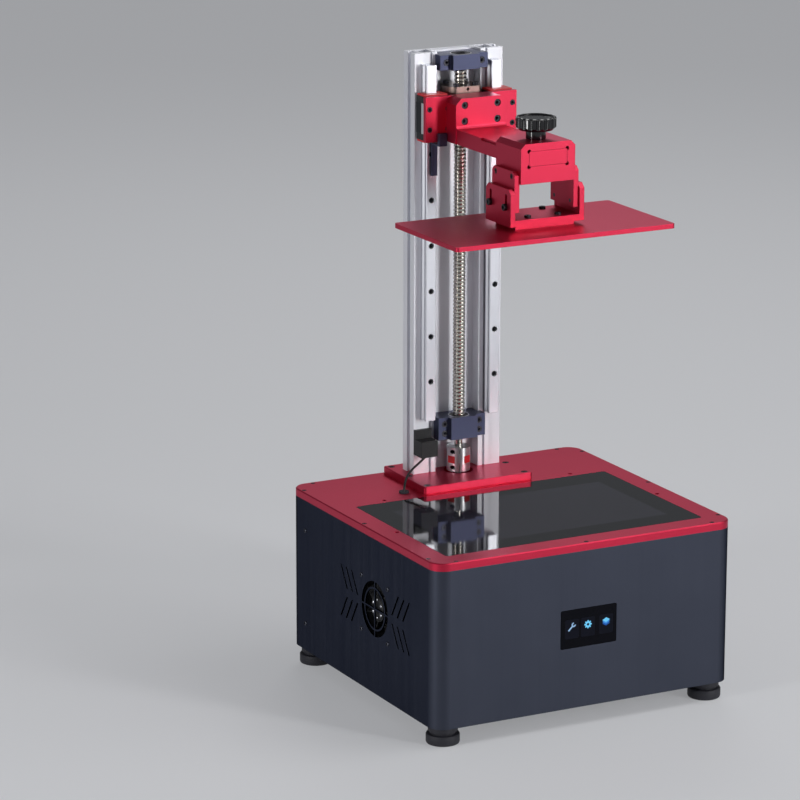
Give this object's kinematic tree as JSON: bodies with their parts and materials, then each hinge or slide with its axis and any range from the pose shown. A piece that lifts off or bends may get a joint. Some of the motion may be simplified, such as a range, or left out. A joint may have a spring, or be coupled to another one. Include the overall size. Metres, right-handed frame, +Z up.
{
  "type": "resin printer",
  "caption": "Large-format resin printer: dark cabinet with an exposure screen on a red deck, an open ball-screw tower behind it and a red build platform on a forward arm.",
  "frame": {"origin": "under the middle of the cabinet, on the surface that its feet stand on", "axes": "+Z up, +X to the right as the touch screen is faced, +Y to the back, towards the tower"},
  "size_m": [0.4302, 0.402, 0.803],
  "materials": {
    "cabinet_paint": "satin powder coat",
    "red_anodised": "bead-blasted and anodised red",
    "clear_anodised": "clear anodised extrusion",
    "bare_aluminium": "mill finish",
    "rail_steel": "ground",
    "screw_steel": "rolled and polished",
    "black_metal": "black anodised or blackened",
    "black_plastic": "matt moulded",
    "knob_plastic": "polished bakelite",
    "red_rubber": "polyurethane",
    "black_rubber": "matt",
    "dark_glass": "polished, opaque black back",
    "lcd_film": "dark polariser",
    "circuit_board": "green solder mask"
  },
  "bodies": {
    "base": {"cabinet_shell": "cabinet_paint", "bottom_plate": "cabinet_paint", "feet": "black_rubber", "top_plate": "red_anodised", "deck_screws": "black_metal", "panel_screws": "black_metal", "screen_glass": "dark_glass", "lcd_panel": "lcd_film", "light_box": "bare_aluminium", "led_board": "circuit_board", "heat_sink": "bare_aluminium", "mainboard": "circuit_board", "power_supply": "black_plastic", "touch_glass": "dark_glass", "touch_module": "circuit_board", "power_inlet": "black_plastic", "fan_frame": "black_plastic", "tower_base_plate": "red_anodised", "base_plate_screws": "black_metal", "tower_column": "clear_anodised", "rail_left": "rail_steel", "rail_right": "rail_steel", "rail_screws": "black_metal", "upper_bearing_block": "black_metal", "lower_bearing_block": "black_metal", "upper_bearing": "rail_steel", "lower_bearing": "rail_steel", "bearing_block_screws": "black_metal", "z_motor": "black_metal", "limit_sensor": "black_plastic", "sensor_lead": "black_rubber", "lead_grommet": "black_rubber"},
    "screw": {"ball_screw": "screw_steel", "coupling_upper_hub": "bare_aluminium", "coupling_spider": "red_rubber", "coupling_lower_hub": "bare_aluminium", "motor_shaft": "screw_steel"},
    "carriage": {"guide_block_left": "rail_steel", "guide_block_right": "rail_steel", "block_end_caps": "black_plastic", "block_seals": "red_rubber", "carriage_plate": "red_anodised", "nut_seat": "red_anodised", "ball_nut": "screw_steel", "arm_bracket": "red_anodised", "sensor_flag": "black_metal", "carriage_screws": "black_metal"},
    "head": {"head_block": "red_anodised", "side_plate_left": "red_anodised", "side_plate_right": "red_anodised", "head_screws": "black_metal"},
    "clamp": {"clamp_screw": "screw_steel"},
    "knob": {"clamp_knob": "knob_plastic"},
    "platform": {"level_bracket": "red_anodised", "plate_spacer": "red_anodised", "build_plate": "red_anodised", "plate_screws": "black_metal"},
    "fan": {"fan_rotor": "black_plastic"},
    "rocker": {"power_rocker": "black_plastic"}
  },
  "joints": [
    {"name": "z_slide", "type": "slide", "parent": "base", "child": "carriage", "axis": [0, 0, 1], "range_m": [-0.3565, 0.012]},
    {"name": "screw_spin", "type": "hinge", "parent": "base", "child": "screw", "pos_m": [0, 0.1365, 0.5], "axis": [0, 0, 1], "continuous": true},
    {"name": "platform_release", "type": "slide", "parent": "carriage", "child": "head", "axis": [0, -1, 0], "range_m": [0, 0.07]},
    {"name": "clamp_lift", "type": "slide", "parent": "head", "child": "clamp", "axis": [0, 0, 1], "range_m": [0, 0.003]},
    {"name": "knob_turn", "type": "hinge", "parent": "clamp", "child": "knob", "pos_m": [0, -0.059, 0.73], "axis": [0, 0, 1], "range_deg": [0, 720]},
    {"name": "level_slide", "type": "slide", "parent": "head", "child": "platform", "axis": [0, 0, 1], "range_m": [-0.0135, 0]},
    {"name": "fan_spin", "type": "hinge", "parent": "base", "child": "fan", "pos_m": [-0.2, -0.0378, 0.1364], "axis": [1, 0, 0], "continuous": true},
    {"name": "rocker_tilt", "type": "hinge", "parent": "base", "child": "rocker", "pos_m": [0.13, 0.195, 0.086], "axis": [1, 0, 0], "range_deg": [-16, 0]}
  ],
  "couplings": [
    {"joint": "screw_spin", "follows": "z_slide", "rad_per_m": -1256.6},
    {"joint": "knob_turn", "follows": "clamp_lift", "rad_per_m": 4188.8}
  ]
}
